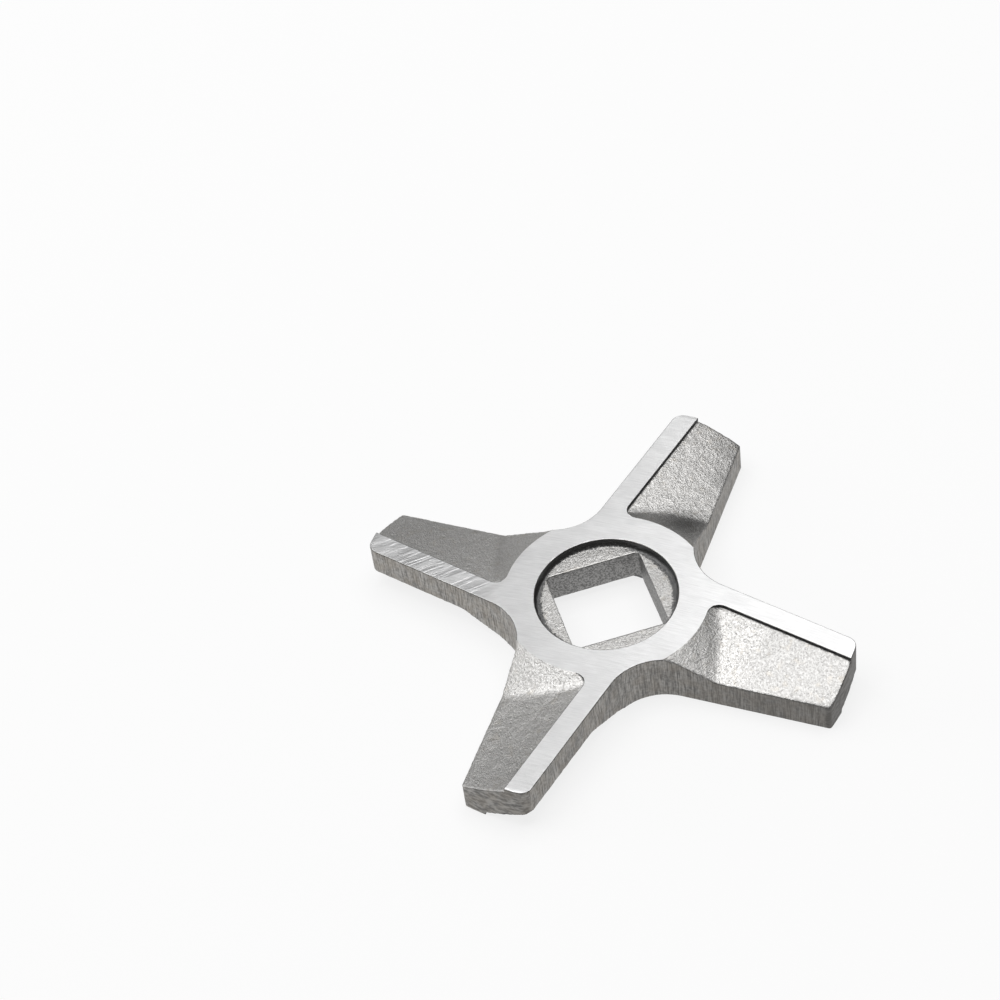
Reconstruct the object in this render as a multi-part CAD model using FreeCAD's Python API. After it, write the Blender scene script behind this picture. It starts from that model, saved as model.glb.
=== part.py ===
import FreeCAD, Part
import math
import os

os.makedirs("parts", exist_ok=True)

V = FreeCAD.Vector

# Four-armed mincer knife, one cast piece, ground flat on both faces.
# Millimetres, +Z up, underside on z = 0, screw axis on the Z axis.
# The sides of the square hole lie along X and Y, and the arms stand at an angle to them.
# Both faces are alike: the knife works either way up.

arm_count = 4
arm_turn_deg = 47.2
tip_radius = 23.75
thickness = 5.0

# Side faces of an arm: both lean in towards its centreline by the taper.
# The offset is the distance from the screw axis to the line of a side face.
side_offset = 5.98
side_taper_deg = 6.5
root_fillet_radius = 5.2

# Corners of an arm's tip: the one at the end of the land is rounder than the trailing one.
land_corner_radius = 1.1
trailing_corner_radius = 0.3

# Cutting land along the leading side, and the cast pocket behind it.
land_width = 2.15
land_step = 0.37
pocket_edge_depth = 2.05
pocket_corner_radius = 1.1
ramp_angle_deg = 26.5

# Hub: ground ring, round recess in each face, square hole for the screw.
hub_ring_radius = 9.65
recess_radius = 6.7
recess_depth = 0.9
recess_corner_radius = 0.3
square_side = 9.2
square_corner_radius = 0.6

# How far the cutting shapes run past the faces they cut.
overrun = 2.0
floor_overrun_share = 0.2

taper = math.radians(side_taper_deg)
arm_step_deg = 360.0 / arm_count


def side_y(x, offset):
    # Height above the centreline of a line parallel to the side face.
    return (offset - x * math.sin(taper)) / math.cos(taper)


def prism(edges, z_low, z_high):
    # Closed plan outline pulled up between two heights.
    face = Part.Face(Part.Wire(Part.__sortEdges__(edges)))
    solid = face.extrude(V(0, 0, z_high - z_low))
    solid.translate(V(0, 0, z_low))
    return solid


def line(a, b):
    return Part.makeLine(a, b)


def arc(a, mid, b):
    return Part.Arc(a, mid, b).toShape()


def polar(radius, angle):
    return V(radius * math.cos(angle), radius * math.sin(angle), 0)


def turned(shape, degrees):
    copy = shape.copy()
    copy.rotate(V(0, 0, 0), V(0, 0, 1), degrees)
    return copy


def turned_over(shape):
    # Half turn about the centreline of the arm that is drawn along +X.
    copy = shape.copy()
    copy.rotate(V(0, 0, thickness / 2.0), V(1, 0, 0), 180)
    return copy


def tip_corner(along, normal, radius):
    # Start, middle and end of the rounded corner between a side face and the tip's arc.
    centre_n = side_offset - radius
    centre_s = math.sqrt((tip_radius - radius) ** 2 - centre_n ** 2)
    centre = along * centre_s + normal * centre_n
    centre_dir = math.atan2(centre.y, centre.x)
    mid_dir = (centre_dir + math.atan2(normal.y, normal.x)) / 2.0
    return centre + normal * radius, centre + polar(radius, mid_dir), polar(tip_radius, centre_dir)


def outline_edges():
    # Plan outline of the whole knife, arm by arm, counter-clockwise.
    along = V(math.cos(taper), -math.sin(taper), 0)
    normal = V(math.sin(taper), math.cos(taper), 0)
    land_side, land_mid, land_tip = tip_corner(along, normal, land_corner_radius)

    def below(p):
        return V(p.x, -p.y, 0)

    trailing = [below(p) for p in tip_corner(along, normal, trailing_corner_radius)]
    trailing_side, trailing_mid, trailing_tip = trailing

    # Concave fillet between this arm and the next one round.
    half_step = math.radians(arm_step_deg) / 2.0
    lean = math.pi / 2.0 - taper - half_step
    root_c = polar((side_offset + root_fillet_radius) / math.cos(lean), half_step)
    root_side = root_c - normal * root_fillet_radius
    root_mid = polar(root_c.Length - root_fillet_radius, half_step)
    other = Part.Vertex(below(root_side))
    root_next = turned(other, arm_step_deg).Point

    one_arm = []
    one_arm.append(line(below(root_side), trailing_side))
    one_arm.append(arc(trailing_side, trailing_mid, trailing_tip))
    one_arm.append(arc(trailing_tip, V(tip_radius, 0, 0), land_tip))
    one_arm.append(arc(land_tip, land_mid, land_side))
    one_arm.append(line(land_side, root_side))
    one_arm.append(arc(root_side, root_mid, root_next))

    edges = []
    for k in range(arm_count):
        for edge in one_arm:
            edges.append(turned(edge, arm_turn_deg + k * arm_step_deg))
    return edges


def pocket_plan(z_low, z_high):
    # Plan of one pocket: land wall, rounded inner corner, edge of the hub ring.
    along = V(math.cos(taper), -math.sin(taper), 0)
    normal = V(math.sin(taper), math.cos(taper), 0)
    wall_offset = side_offset - land_width
    r = pocket_corner_radius
    c_n = wall_offset - r
    c_s = math.sqrt((hub_ring_radius + r) ** 2 - c_n ** 2)
    centre = along * c_s + normal * c_n
    on_wall = centre + normal * r
    centre_dir = math.atan2(centre.y, centre.x)
    on_ring = polar(hub_ring_radius, centre_dir)
    mid_dir = (math.atan2(normal.y, normal.x) + centre_dir + math.pi) / 2.0
    mid = centre + polar(r, mid_dir)

    far_x = tip_radius + overrun
    wall_end = V(far_x, side_y(far_x, wall_offset), 0)
    half_step = math.radians(arm_step_deg) / 2.0
    ring_end = polar(hub_ring_radius, -half_step)
    ring_mid = polar(hub_ring_radius, (centre_dir - half_step) / 2.0)
    far_low = V(far_x, ring_end.y - overrun, 0)
    near_low = V(ring_end.x, ring_end.y - overrun, 0)

    edges = []
    edges.append(line(wall_end, on_wall))
    edges.append(arc(on_wall, mid, on_ring))
    edges.append(arc(on_ring, ring_mid, ring_end))
    edges.append(line(ring_end, near_low))
    edges.append(line(near_low, far_low))
    edges.append(line(far_low, wall_end))
    return prism(edges, z_low, z_high)


def pocket_section(x, z_top):
    # Cross-section of the pocket at one station along the arm. The floor line runs
    # a share of its width past the land wall and past the side face.
    y_wall = side_y(x, side_offset - land_width)
    y_edge = -side_y(x, side_offset)
    width = (y_wall - y_edge) * floor_overrun_share
    fall = (pocket_edge_depth - land_step) * floor_overrun_share
    z_wall = thickness - land_step + fall
    z_edge = thickness - pocket_edge_depth - fall
    corners = []
    corners.append(V(x, y_wall + width, z_top))
    corners.append(V(x, y_wall + width, z_wall))
    corners.append(V(x, y_edge - width, z_edge))
    corners.append(V(x, y_edge - width, z_top))
    return Part.makePolygon(corners + [corners[0]])


def pocket_cutter():
    # Space removed behind one land on the upper face: over the floor, and outside
    # the ramp, a cone round the screw axis that falls away from the hub ring.
    z_top = thickness + overrun
    near = pocket_section(0.0, z_top)
    far = pocket_section(tip_radius + overrun, z_top)
    over_floor = Part.makeLoft([near, far], True, True)
    slope = math.tan(math.radians(ramp_angle_deg))
    foot_radius = hub_ring_radius + thickness / slope
    cone = Part.makeCone(foot_radius, 0.0, foot_radius * slope)
    space = over_floor.cut(turned(cone, 180))
    return pocket_plan(0.0, z_top).common(space)


def square_cutter():
    # Square hole with small rounds in its corners, cut right through.
    half = square_side / 2.0
    height = thickness + 2.0 * overrun
    box = Part.makeBox(square_side, square_side, height, V(-half, -half, -overrun))
    uprights = []
    for edge in box.Edges:
        low = edge.Vertexes[0].Point
        high = edge.Vertexes[-1].Point
        if abs(low.x - high.x) + abs(low.y - high.y) < 1e-6:
            uprights.append(edge)
    return box.makeFillet(square_corner_radius, uprights)


def recess_cutter():
    # Round recess in the upper face, with a rounded corner at its floor.
    low = thickness - recess_depth
    cutter = Part.makeCylinder(recess_radius, recess_depth + overrun, V(0, 0, low))
    rims = []
    for edge in cutter.Edges:
        if abs(edge.BoundBox.ZMax - low) < 1e-6:
            rims.append(edge)
    return cutter.makeFillet(recess_corner_radius, rims)


blank = prism(outline_edges(), 0.0, thickness)
recess = recess_cutter()

upper_pocket = pocket_cutter()
lower_pocket = turned_over(upper_pocket)
cutters = [recess, turned_over(recess), square_cutter()]
for k in range(arm_count):
    for pocket in (upper_pocket, lower_pocket):
        cutters.append(turned(pocket, arm_turn_deg + k * arm_step_deg))

knife = blank
for cutter in cutters:
    knife = knife.cut(cutter)

knife = knife.removeSplitter()
knife = knife.Solids[0]
knife.exportStep("parts/knife.step")

box = knife.BoundBox
print("knife valid", knife.isValid(), "faces", len(knife.Faces))
print("size", round(box.XLength, 3), round(box.YLength, 3), round(box.ZLength, 3))
print("volume", round(knife.Volume, 2))
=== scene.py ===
# A meat grinder knife on a pale floor: one small steel casting with four arms, both faces ground bright.
from math import cos, pi, radians, sin

import bmesh
import bpy
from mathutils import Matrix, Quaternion, Vector, kdtree, noise


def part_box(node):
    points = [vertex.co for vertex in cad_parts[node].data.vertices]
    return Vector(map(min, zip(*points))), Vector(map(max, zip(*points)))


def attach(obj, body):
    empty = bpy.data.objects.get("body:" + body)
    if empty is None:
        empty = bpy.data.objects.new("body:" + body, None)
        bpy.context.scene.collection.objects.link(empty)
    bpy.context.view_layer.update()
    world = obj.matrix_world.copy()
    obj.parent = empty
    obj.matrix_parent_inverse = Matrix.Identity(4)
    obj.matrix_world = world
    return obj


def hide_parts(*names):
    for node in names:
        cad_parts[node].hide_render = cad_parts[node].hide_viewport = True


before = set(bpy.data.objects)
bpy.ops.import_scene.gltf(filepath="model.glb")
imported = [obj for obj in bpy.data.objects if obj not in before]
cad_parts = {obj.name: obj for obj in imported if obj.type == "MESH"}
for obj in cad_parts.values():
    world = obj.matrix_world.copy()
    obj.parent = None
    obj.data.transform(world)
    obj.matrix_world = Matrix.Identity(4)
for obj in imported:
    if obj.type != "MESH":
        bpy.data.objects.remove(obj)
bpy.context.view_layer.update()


# The camera looks down at the knife through a long lens from a little over a quarter of a metre, as for a
# small product on a table. It is held with its right side a little low.
mm = 0.001
view_azimuth = radians(-10.0)
view_height = radians(47.05)
view_roll = radians(-8.48)
view_distance = 261.15 * mm
view_aim = Vector((-14.90, -5.94, 5.0)) * mm

camera = bpy.data.objects.new("camera", bpy.data.cameras.new("camera"))
bpy.context.scene.collection.objects.link(camera)
camera.data.sensor_width = 36.0
camera.data.lens = 98.06
camera.data.clip_start = 0.01
towards_camera = Vector((
    cos(view_height) * cos(view_azimuth),
    cos(view_height) * sin(view_azimuth),
    sin(view_height),
))
camera.location = view_aim + towards_camera * view_distance
camera.rotation_mode = "QUATERNION"
camera.rotation_quaternion = towards_camera.to_track_quat("Z", "Y") @ Quaternion((0, 0, 1), view_roll)
bpy.context.scene.camera = camera
bpy.context.scene.view_settings.view_transform = "Standard"


# The floor is a wide sheet of matt white paper, a hair below the knife so that no two faces share a plane.
# It glows a little where it is seen or mirrored but keeps the knife's soft shadow, and its far edge lies
# outside every view.
class Wire:
    """One output in a material's nodes. Sums and products of wires add the Math nodes for them."""

    def __init__(self, tree, socket=None):
        self.tree = tree
        self.socket = socket

    def node(self, kind, settings=None, sockets=None, out=0):
        """Adds a node, sets its settings, then fills its sockets with values or wires."""
        made = self.tree.nodes.new(kind)
        for name, value in (settings or {}).items():
            setattr(made, name, value)
        for name, value in (sockets or {}).items():
            if isinstance(value, Wire):
                self.tree.links.new(value.socket, made.inputs[name])
            else:
                made.inputs[name].default_value = value
        return Wire(self.tree, made.outputs[out] if made.outputs else None)

    def maths(self, operation, first, second=0.0):
        return self.node("ShaderNodeMath", {"operation": operation}, {0: first, 1: second})

    def __add__(self, other):
        return self.maths("ADD", self, other)

    def __sub__(self, other):
        return self.maths("SUBTRACT", self, other)

    def __mul__(self, other):
        return self.maths("MULTIPLY", self, other)

    def __rsub__(self, other):
        return self.maths("SUBTRACT", other, self)

    __radd__ = __add__
    __rmul__ = __mul__

    def ramp(self, low, high):
        """0 below low, 1 above high and a smooth rise between them."""
        settings = {"interpolation_type": "SMOOTHSTEP"}
        sockets = {"Value": self, "From Min": low, "From Max": high}
        return self.node("ShaderNodeMapRange", settings, sockets)


def new_material(name):
    """An empty node material, as a wire to hang its first nodes on."""
    material = bpy.data.materials.new(name)
    material.use_nodes = True
    material.node_tree.nodes.clear()
    return material, Wire(material.node_tree)


def grains(wire, place, scale, detail=2.0, rough=0.5):
    """Fractal noise from 0 to 1, so many grains to a unit of place."""
    sockets = {"Vector": place, "Scale": scale, "Detail": detail, "Roughness": rough}
    return wire.node("ShaderNodeTexNoise", {}, sockets)


floor_half_width = 3.0
floor_drop = 0.01 * mm
glow = 0.80
paper, wire = new_material("matt_white_paper")
fibres = grains(wire, wire.node("ShaderNodeTexCoord", out="Object"), 900.0)
grain = wire.node("ShaderNodeBump", {}, {"Height": fibres, "Strength": 0.15, "Distance": 0.00005})
sheet = wire.node("ShaderNodeBsdfPrincipled", {}, {
    "Base Color": (0.86, 0.86, 0.86, 1.0), "Roughness": 0.9, "Specular IOR Level": 0.1, "Normal": grain})
white = wire.node("ShaderNodeEmission", {}, {"Color": (1.0, 1.0, 1.0, 1.0), "Strength": 1.0})
from_camera, mirrored, through_glass = [
    wire.node("ShaderNodeLightPath", out=f"Is {kind} Ray") for kind in ("Camera", "Glossy", "Transmission")]
seen = from_camera + mirrored + through_glass
part_white = wire.node("ShaderNodeMixShader", {}, {0: seen * glow, 1: sheet, 2: white})
wire.node("ShaderNodeOutputMaterial", {}, {"Surface": part_white})

floor_mesh = bpy.data.meshes.new("floor")
square = bmesh.new()
bmesh.ops.create_grid(square, x_segments=1, y_segments=1, size=floor_half_width)
bmesh.ops.translate(square, verts=square.verts, vec=(0.0, 0.0, -floor_drop))
square.to_mesh(floor_mesh)
square.free()
floor_mesh.materials.append(paper)
floor = bpy.data.objects.new("floor", floor_mesh)
bpy.context.scene.collection.objects.link(floor)


# The light is a long soft box that hangs level over the knife, two small ones behind it and a low one on its
# left. The walls of the room are dark, and they are what the low slopes of the knife reflect.
def soft_box(name, place, width, depth, radiance):
    """A panel of light that faces the knife, as bright as a sheet that sends out so much radiance."""
    panel = bpy.data.lights.new(name, "AREA")
    panel.shape = "RECTANGLE"
    panel.size = width
    panel.size_y = depth
    panel.energy = radiance * pi * width * depth
    lamp = bpy.data.objects.new(name, panel)
    bpy.context.scene.collection.objects.link(lamp)
    lamp.location = place
    lamp.rotation_mode = "QUATERNION"
    lamp.rotation_quaternion = Vector(place).to_track_quat("Z", "Y")
    return lamp


overhead = soft_box("overhead_box", (-0.15, -0.10, 1.10), 0.8, 1.6, 3.2)
overhead.rotation_quaternion = (1.0, 0.0, 0.0, 0.0)
soft_box("back_right_box", (-0.48, 0.28, 0.575), 0.25, 0.3, 1.45)
soft_box("back_left_box", (-0.48, -0.28, 0.575), 0.25, 0.3, 2.0)
soft_box("low_left_box", (-0.44, -0.76, 0.22), 0.4, 0.3, 3.4)

room = bpy.data.worlds.new("room")
bpy.context.scene.world = room
room.use_nodes = True
room.node_tree.nodes.clear()
wire = Wire(room.node_tree)
walls = wire.node("ShaderNodeBackground", {}, {"Color": (0.13, 0.13, 0.13, 1.0), "Strength": 1.0})
wire.node("ShaderNodeOutputWorld", {}, {"Surface": walls})


# The knife is one piece of cast steel. Its two faces are ground flat, its pockets and the recesses round
# the drive hole are left as cast with painted shade on the steps, and its sides are trimmed.
low_corner, high_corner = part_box("knife")
half_height = (high_corner.z - low_corner.z) / 2
recess_radius = 6.7 * mm
past_recess = recess_radius + 1 * mm
weld = 0.001 * mm
ground, cast, shaded_step, side, bore = range(5)

body = bmesh.new()
body.from_mesh(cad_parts["knife"].data)
bmesh.ops.remove_doubles(body, verts=body.verts, dist=weld)
bmesh.ops.dissolve_limit(
    body, angle_limit=radians(0.1), verts=body.verts, edges=body.edges,
    use_dissolve_boundaries=False, delimit=set(),
)


def is_level(face):
    """True for a face that lies level, such as a ground face or the floor of a recess."""
    return abs(face.normal.z) > 0.9999


def finish_of(face):
    """Which finish a face of the plain casting gets, from where it lies and how it slopes."""
    heights = [v.co.z - low_corner.z for v in face.verts]
    from_middle = abs(sum(heights) / len(heights) - half_height)
    from_axis = face.calc_center_median().to_2d().length
    if is_level(face) and from_middle > 0.98 * half_height:
        return ground
    through = min(heights) < half_height < max(heights)
    if abs(face.normal.z) < 0.01 and through:
        return bore if from_axis < recess_radius else side
    steep = abs(face.normal.z) < 0.3
    return shaded_step if steep and from_axis > past_recess else cast


for face in body.faces:
    face.material_index = finish_of(face)


# The edges between the small facets of the casting's curved faces are marked, to be taken out after dicing.
seam_of_facets = body.edges.layers.int.new("facet_seam")
for edge in body.edges:
    finishes = {f.material_index for f in edge.link_faces}
    edge[seam_of_facets] = int(finishes == {cast} and edge.calc_face_angle(pi) < radians(12.0))

# The sharp edges of the ground faces are broken, and so are the short upright edges at the ends of the steps.
arris = 0.07 * mm
least_height = 2.5 * arris


def is_sharp(edge):
    """True for an edge between a ground face and a steep one that is high enough to be rounded off."""
    faces = sorted(edge.link_faces, key=lambda f: f.material_index)
    finishes = [f.material_index for f in faces]
    heights = [v.co.z for v in faces[-1].verts]
    from_ground = finishes[0] == ground and finishes[-1] != ground and abs(faces[-1].normal.z) < 0.5
    return finishes == [shaded_step, side] or from_ground and max(heights) - min(heights) > least_height


body.normal_update()
bmesh.ops.bevel(
    body, geom=[e for e in body.edges if is_sharp(e)], offset=arris, offset_type="OFFSET", segments=3,
    profile=0.5, affect="EDGES", clamp_overlap=False, material=-1,
)


def dice(mesh, faces, axis, step):
    """Cuts the faces by planes square to an axis, a step apart, halving the stack of planes each time."""
    square = Vector([float(axis == i) for i in range(3)])

    def halve(part, first, last):
        if first > last or not part:
            return
        middle = (first + last) // 2
        loose = {e for f in part for e in f.edges} | {v for f in part for v in f.verts}
        cut = bmesh.ops.bisect_plane(
            mesh, geom=part + list(loose), dist=weld, plane_co=square * middle * step, plane_no=square)
        pieces = [g for g in cut["geom"] if isinstance(g, bmesh.types.BMFace)]
        beyond = [f.calc_center_median()[axis] >= middle * step for f in pieces]
        halve([f for f, far in zip(pieces, beyond) if not far], first, middle - 1)
        halve([f for f, far in zip(pieces, beyond) if far], middle + 1, last)

    places = [v.co[axis] for f in faces for v in f.verts]
    halve(faces, int(min(places) / step) - 1, int(max(places) / step) + 1)


grid = 0.14 * mm
least_side = 0.02 * mm
sliver_height = 0.015 * mm
for axis, step in ((0, grid), (1, grid), (2, 2 * grid)):
    rough_faces = [f for f in body.faces if f.material_index != ground]
    if axis == 2:
        rough_faces = [f for f in rough_faces if abs(f.normal.z) < 0.5]
    dice(body, rough_faces, axis, step)
bmesh.ops.dissolve_edges(
    body, edges=[e for e in body.edges if e[seam_of_facets]], use_verts=True, use_face_split=False)
rough_verts = [v for v in body.verts if all(f.material_index != ground for f in v.link_faces)]
bmesh.ops.remove_doubles(body, verts=rough_verts, dist=least_side)


def side_of_sliver(face):
    """The long side that a very thin triangle shares with a face of its own finish, or None."""
    longest = max(face.edges, key=lambda e: e.calc_length())
    height = 2 * face.calc_area() / longest.calc_length()
    alike = len({f.material_index for f in longest.link_faces}) == 1
    flat = longest.calc_face_angle(pi) < radians(30.0)
    return longest if len(face.verts) == 3 and height < sliver_height and alike and flat else None


slivers = [side_of_sliver(f) for f in body.faces if f.material_index != ground]
bmesh.ops.dissolve_edges(
    body, edges=[e for e in dict.fromkeys(slivers) if e], use_verts=False, use_face_split=False)
bmesh.ops.delete(body, geom=[e for e in body.edges if e.is_wire], context="EDGES")
bmesh.ops.delete(body, geom=[v for v in body.verts if not v.link_faces], context="VERTS")

# Merging leaves a few holes as small as a single face, which are closed again.
gaps = bmesh.ops.holes_fill(body, edges=[e for e in body.edges if e.is_boundary], sides=0)
for face in gaps["faces"]:
    face.material_index = cast


def is_flat_ground(face):
    """True for the ground faces themselves, and not for the broken edges round them."""
    return face.material_index == ground and is_level(face)


def near_edges(verts, edges, reach):
    """The vertices that lie within reach of an end of one of the edges."""
    marks = kdtree.KDTree(2 * len(edges))
    for number, vert in enumerate(v for e in edges for v in e.verts):
        marks.insert(vert.co, number)
    marks.balance()
    return [v for v in verts if marks.find(v.co)[2] < reach]


def soften(verts, rounds):
    """Rounds the casting off: these vertices settle towards their neighbours."""
    for _ in range(rounds):
        bmesh.ops.smooth_vert(
            body, verts=verts, factor=0.5, use_axis_x=True, use_axis_y=True, use_axis_z=True)


def ease(line, places, reach, rounds):
    """Bends a line of edges smoothly near some places: its vertices there settle between their neighbours."""
    beside = {}
    for edge in line:
        for vert in edge.verts:
            beside.setdefault(vert, []).append(edge.other_vert(vert))
    bends = [v for v in near_edges(list(beside), places, reach) if len(beside[v]) == 2]
    for _ in range(rounds):
        halfway = {v: (beside[v][0].co + beside[v][1].co) / 2 for v in bends}
        for vert, between in halfway.items():
            vert.co = vert.co.lerp(between, 0.5)


# The foot of each ramp is a blunt bend in its pocket. It is smoothed widely, and the rims of the pockets and
# the corners of the sides only a little.
crease_reach = 1.3 * mm
sharp_turn = radians(35.0)
body.normal_update()
turns = {}
for edge in body.edges:
    finishes = tuple(sorted({f.material_index for f in edge.link_faces}))
    turns.setdefault(finishes, []).append((edge, edge.calc_face_angle(0.0)))
creases = [edge for edge, turn in turns[(cast,)] if radians(14.0) < turn < sharp_turn
           and edge.verts[0].co.to_2d().length > past_recess]
rims = [edge for edge, turn in turns[(cast, side)] if turn >= sharp_turn]
corners = [edge for edge, turn in turns[(side,)] + turns[(cast, bore)] if turn >= sharp_turn]
free_verts = [v for v in body.verts if all(f.material_index != ground for f in v.link_faces)]
cast_verts = [v for v in free_verts if all(f.material_index == cast for f in v.link_faces)]
soften(near_edges(cast_verts, creases, crease_reach), 40)
ease(rims, creases, crease_reach, 30)
soften(near_edges(free_verts, rims, 0.16 * mm), 2)
soften(near_edges(free_verts, corners, 0.10 * mm), 1)
body.normal_update()

# The skin swells and sinks by a few hundredths of a millimetre, and stays in the box of the plain casting.
moved = {}
for vert in body.verts:
    finishes = {f.material_index for f in vert.link_faces}
    if any(is_flat_ground(f) for f in vert.link_faces):
        continue
    spot = vert.co / mm
    if cast in finishes:
        swell = 0.020 * noise.noise(spot / 0.42) + 0.018 * noise.noise(spot / 1.1 + Vector((7, 3, 1)))
    elif side in finishes:
        streak = Vector((spot.x, spot.y, 0.08 * spot.z))
        swell = 0.008 * noise.noise(streak / 0.25) + 0.008 * noise.noise(spot / 1.3)
    else:
        swell = 0.012 * noise.noise(spot / 0.6)
    moved[vert] = vert.normal * swell * mm
for vert, shift in moved.items():
    vert.co += shift
    for axis in range(3):
        vert.co[axis] = min(max(vert.co[axis], low_corner[axis]), high_corner[axis])

# Crumbs of faces that folded over are joined to their neighbours.
crumb_area = 0.003 * mm * mm
body.normal_update()
folds = [e for e in body.edges if e.calc_face_angle(0.0) > radians(120.0)
         and len({f.material_index for f in e.link_faces}) == 1
         and min(f.calc_area() for f in e.link_faces) < crumb_area]
bmesh.ops.dissolve_edges(body, edges=folds, use_verts=True, use_face_split=False)

for face in body.faces:
    face.smooth = True
for edge in body.edges:
    edge.smooth = sum(is_flat_ground(f) for f in edge.link_faces) != 1

knife_mesh = bpy.data.meshes.new("knife_casting")
body.to_mesh(knife_mesh)
body.free()

# The plain casting's corner normals and the marks of its facets no longer fit this mesh.
for name in ("custom_normal", "facet_seam"):
    if name in knife_mesh.attributes:
        knife_mesh.attributes.remove(knife_mesh.attributes[name])
knife = bpy.data.objects.new("knife_casting", knife_mesh)
bpy.context.scene.collection.objects.link(knife)
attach(knife, "root")
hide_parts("knife")


# The ground faces were cut by a cup wheel wider than the knife, which left fine scratches on arcs of its own
# radius and chattered across one land. The steel is bright, and painted shade makes it duller towards the
# near left and the right and darker on the broken edges.
def metal(material, wire, colour, roughness, normal):
    """Bare steel of that colour, roughness and grain, as a material on the knife."""
    shader = wire.node("ShaderNodeBsdfPrincipled", {}, {
        "Base Color": colour, "Roughness": roughness, "Metallic": 1.0, "Normal": normal})
    wire.node("ShaderNodeOutputMaterial", {}, {"Surface": shader})
    knife_mesh.materials.append(material)


def object_place(wire):
    """Where a point lies on the knife, in millimetres, as a vector and as its three parts."""
    metres = wire.node("ShaderNodeTexCoord", out="Object")
    place = wire.node("ShaderNodeVectorMath", {"operation": "SCALE"}, {0: metres, "Scale": 1 / mm})
    parts = [wire.node("ShaderNodeSeparateXYZ", {}, {0: place}, out=i) for i in range(3)]
    return place, parts


def vector(wire, x, y, z):
    return wire.node("ShaderNodeCombineXYZ", {}, {0: x, 1: y, 2: z})


def plan_length(wire, x, y):
    """How long an arrow of x by y is in plan."""
    arrow = vector(wire, x, y, 0.0)
    return wire.node("ShaderNodeVectorMath", {"operation": "LENGTH"}, {0: arrow}, out=1)


def from_middle_height(wire, z):
    """How far a point lies above or below the middle of the knife's height, in millimetres."""
    return wire.maths("ABSOLUTE", z - face_height)


def blend(wire, amount, first, second):
    """A colour between two, by amount."""
    return wire.node("ShaderNodeMix", {"data_type": "RGBA"}, {0: amount, 6: first, 7: second}, out=2)


def relief(wire, height, depth, under=None):
    """Bumps of that height map, so many millimetres from 0 to 1, over the bumps under them."""
    sockets = {"Height": height, "Distance": depth * mm, "Strength": 1.0}
    if under:
        sockets["Normal"] = under
    return wire.node("ShaderNodeBump", {}, sockets)


def grey(level, warmth=0.0):
    return (level * (1 + warmth), level, level * (1 - 1.6 * warmth), 1.0)


wheel_radius = 110.0
grinding_direction = radians(55.0)
chatter_direction = radians(95.0)
chattered_arm = radians(227.2)
tip_radius = 23.75
face_height = half_height / mm
material, wire = new_material("ground_steel")
place, (x, y, z) = object_place(wire)
wheel_x = wheel_radius * sin(grinding_direction)
wheel_y = -wheel_radius * cos(grinding_direction)
across = plan_length(wire, x - wheel_x, y - wheel_y)
along = wire.maths("ARCTAN2", y - wheel_y, x - wheel_x) * wheel_radius
fine = grains(wire, vector(wire, across * 10.0, along * 0.5, z), 1.0, 3.0, 0.65)
broad = grains(wire, vector(wire, across * 3.5, along * 0.25, z), 1.0, 2.0)
patches = grains(wire, place, 0.5, 2.0)
polish = fine * 0.6 + broad * 0.2 + patches * 0.2
skips = vector(wire, x * sin(chatter_direction) - y * cos(chatter_direction), along * 0.12, z)
out_on_arm = x * cos(chattered_arm) + y * sin(chattered_arm)
chatter = grains(wire, skips, 1.6, 2.0, 0.6).ramp(0.43, 0.57) * out_on_arm.ramp(8.0, 13.0)
worn = plan_length(wire, x, y).ramp(tip_radius - 0.4, tip_radius + 0.1)
# Painted shade: the steel is painted duller towards the near left and the right.
shaded_near_left = (x - y).ramp(-5.0, 32.0) * 0.4
shaded_right = (x + y).ramp(15.0, 35.0) * 0.25
dull_chatter = chatter * (1.0 - out_on_arm.ramp(19.5, 21.5)) * 0.4
# Painted shade: the broken edges are painted dark, so that they catch no highlight.
shaded_broken_edge = 1.0 - from_middle_height(wire, z).ramp(face_height - 0.005, face_height - 0.0005)
colour = blend(wire, polish.ramp(0.34, 0.66), grey(0.84), grey(0.97))
colour = blend(wire, shaded_near_left, colour, grey(0.50))
colour = blend(wire, shaded_right, colour, grey(0.50))
colour = blend(wire, dull_chatter, colour, grey(0.38))
colour = blend(wire, shaded_broken_edge, colour, grey(0.22, 0.02))
rounded_end = relief(wire, 1.0 - worn, 0.018)
scratches = relief(wire, fine + broad * 0.5 - chatter * 1.2, 0.007, rounded_end)
metal(material, wire, colour, 0.26 + polish * 0.12 + shaded_broken_edge * 0.2, scratches)


# The pockets and recesses keep the grain of the mould: small rounded swellings and pits in dull grey steel,
# smoother at the end of one pocket. The corner round each recess is painted dark as painted shade, and the
# skin is darker in three ragged patches.
def dark_patch(colour, spot_x, spot_y, reach, darkness):
    """Lays dark grey over the colour round a spot, out to a ragged edge."""
    off = plan_length(wire, x - spot_x, y - spot_y) + (pebbles - 0.5) * reach
    return blend(wire, (1.0 - off.ramp(0.0, reach)) * darkness, colour, grey(0.06))


recess_rim = recess_radius / mm
material, wire = new_material("cast_steel")
place, (x, y, z) = object_place(wire)
pebbles = grains(wire, place, 5.2, 3.0, 0.65)
sand = grains(wire, place, 11.0, 2.0, 0.7)
rough = 1.0 - (x + y).ramp(19.0, 23.0) * 0.45
pits = (1.0 - grains(wire, place, 6.0, 2.0).ramp(0.32, 0.42)) * rough
# Brown tarnish in random patches of the cast skin.
tarnish_and_painted_shade = grains(wire, place, 1.1, 3.0).ramp(0.56, 0.72)
tops = (pebbles * 0.7 + sand * 0.3).ramp(0.38, 0.62)
from_axis = plan_length(wire, x, y)
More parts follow.
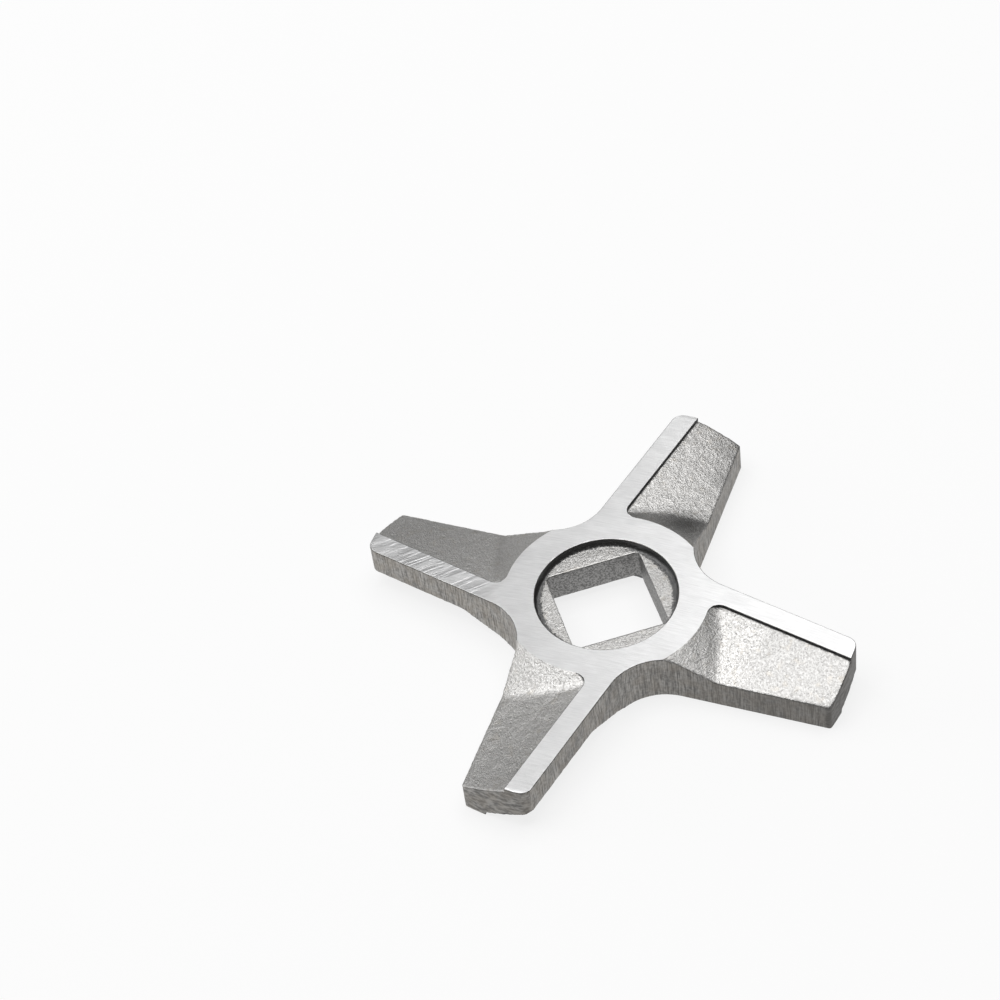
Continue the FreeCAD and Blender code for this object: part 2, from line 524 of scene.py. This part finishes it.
# Painted shade: the corner round each recess is painted dark, out to a ragged edge that reaches further in
# towards the two sides.
ragged = from_axis + (pebbles - 0.5) * 1.1 + (y * y).ramp(6.0, 36.0) * 0.4
in_corner = ragged.ramp(recess_rim - 0.30, recess_rim - 0.12)
shaded_recess_edge = in_corner * (1.0 - from_axis.ramp(recess_rim + 0.5, recess_rim + 0.7))
colour = blend(wire, tops, grey(0.43, 0.02), grey(0.57, 0.01))
colour = blend(wire, rough, grey(0.24, 0.01), colour)
colour = blend(wire, tarnish_and_painted_shade * 0.3, colour, (0.45, 0.41, 0.35, 1.0))
# Three ragged patches on one arm are darker.
colour = dark_patch(colour, -13.8, 19.3, 4.2, 0.5)
colour = dark_patch(colour, -11.2, 15.5, 2.0, 0.3)
colour = dark_patch(colour, -6.4, 10.0, 3.6, 0.65)
colour = blend(wire, pits * 0.3, colour, grey(0.14))
colour = blend(wire, shaded_recess_edge, colour, grey(0.13))
grain = relief(wire, sand * rough - pits * 0.8, 0.015, relief(wire, pebbles * rough, 0.045))
metal(material, wire, colour, 0.47 - tops * 0.12, grain)


# The low step behind each cutting land is painted near black, as painted shade for the shade that falls
# in it.
material, wire = new_material("painted_shade_on_steps")
place, (x, y, z) = object_place(wire)
step_mottle = grains(wire, place, 5.0, 2.0)
colour = blend(wire, step_mottle.ramp(0.35, 0.65), grey(0.06), grey(0.13))
metal(material, wire, colour, 0.6, relief(wire, step_mottle, 0.03))


# The sides are trimmed by a punch, which drew its marks down them, and are a little brown, with painted shade
# towards the near right. The ends of the arms keep a darker, blotchy skin without those marks, and painted
# shade makes the broken edges darkest.
material, wire = new_material("trimmed_sides")
place, (x, y, z) = object_place(wire)
strips = grains(wire, vector(wire, x * 8.0, y * 8.0, z * 0.5), 1.0, 3.0, 0.65)
spots = grains(wire, place, 3.5, 3.0)
layers = grains(wire, vector(wire, x * 1.2, y * 1.2, z * 3.0), 1.0, 3.0)
at_end = plan_length(wire, x, y).ramp(tip_radius - 0.6, tip_radius - 0.3)
drawn = strips * (1.0 - at_end) + layers * at_end
shade = (drawn * 0.7 + spots * 0.3).ramp(0.36, 0.64)
brown = grains(wire, place, 0.8, 2.0).ramp(0.35, 0.65)
# Painted shade darkens the sides towards the near right; the ends of the arms are darker as well.
tarnish_and_painted_shade = (x + y).ramp(-10.0, 30.0) * 0.62 + at_end * 0.25
colour = blend(wire, shade, grey(0.18, 0.02), grey(0.46, 0.03))
colour = blend(wire, brown * 0.35, colour, (0.32, 0.28, 0.23, 1.0))
colour = blend(wire, tarnish_and_painted_shade, colour, grey(0.10, 0.03))
# Painted shade: the broken edges are painted near black, so that they catch no highlight.
shaded_broken_edge = from_middle_height(wire, z).ramp(face_height - 0.08, face_height - 0.05)
colour = blend(wire, shaded_broken_edge * 0.7, colour, grey(0.08, 0.02))
metal(material, wire, colour, 0.55 - shade * 0.12, relief(wire, drawn, 0.03))


# The square drive hole goes straight through the casting. Its sides are punched too, but stay out of the
# light and keep a darker, blotchy skin without drawn marks.
material, wire = new_material("drive_hole_sides")
place, (x, y, z) = object_place(wire)
blotches = grains(wire, place, 5.5, 3.0, 0.65)
colour = blend(wire, blotches.ramp(0.38, 0.62), grey(0.17, 0.01), grey(0.40, 0.01))
metal(material, wire, colour, 0.55, relief(wire, blotches, 0.018))
